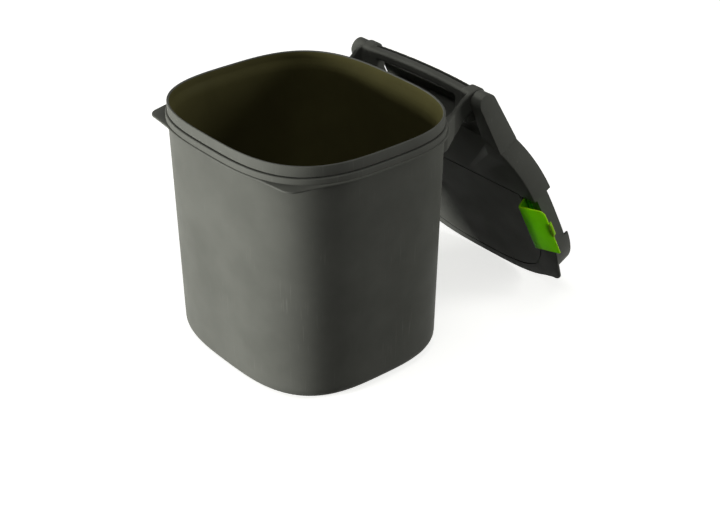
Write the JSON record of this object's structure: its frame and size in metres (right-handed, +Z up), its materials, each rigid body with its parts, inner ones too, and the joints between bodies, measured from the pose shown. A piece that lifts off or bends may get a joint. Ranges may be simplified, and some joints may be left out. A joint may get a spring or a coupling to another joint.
{
  "type": "bokashi bin",
  "caption": "Kitchen bokashi compost bin: rounded square bin with a carrying bar, lift-out bucket and strainer, and a hinged sealing lid, open, with side latches.",
  "frame": {"origin": "middle of the bin's flat base, on the floor", "axes": "+X along the lid's hinge, to the right when the bin is seen from its front; +Y to the rear, towards the hinge and carrying bar; +Z up"},
  "size_m": [0.3146, 0.4234, 0.276],
  "materials": {
    "charcoal_plastic": "satin, faintly scuffed",
    "seal_rubber": "matte",
    "lime_plastic": "semi-gloss",
    "pin_plastic": "satin"
  },
  "bodies": {
    "bin_body": {"outer_bin": "charcoal_plastic", "hinge_pin_left": "pin_plastic", "hinge_pin_right": "pin_plastic"},
    "bucket_body": {"inner_bucket": "charcoal_plastic"},
    "strainer_body": {"strainer_plate": "charcoal_plastic"},
    "lid_body": {"lid": "charcoal_plastic", "lid_seal": "seal_rubber", "latch_pin_left": "pin_plastic", "latch_pin_right": "pin_plastic"},
    "latch_left_body": {"latch_left": "lime_plastic"},
    "latch_right_body": {"latch_right": "lime_plastic"}
  },
  "joints": [
    {"name": "lid_hinge", "type": "hinge", "parent": "bin_body", "child": "lid_body", "pos_m": [0, 0.16129, 0.2667], "axis": [-1, 0, 0], "range_deg": [-243, 0]},
    {"name": "latch_left_hinge", "type": "hinge", "parent": "lid_body", "child": "latch_left_body", "pos_m": [-0.12655, 0.22373, 0.1175], "axis": [0, -0.454, 0.891], "range_deg": [-76, 0]},
    {"name": "latch_right_hinge", "type": "hinge", "parent": "lid_body", "child": "latch_right_body", "pos_m": [0.12655, 0.22373, 0.1175], "axis": [0, 0.454, -0.891], "range_deg": [-76, 0]},
    {"name": "bucket_lift", "type": "slide", "parent": "bin_body", "child": "bucket_body", "axis": [0, 0, 1], "range_m": [0, 0.3]},
    {"name": "strainer_lift", "type": "slide", "parent": "bucket_body", "child": "strainer_body", "axis": [0, 0, 1], "range_m": [0, 0.26]}
  ]
}
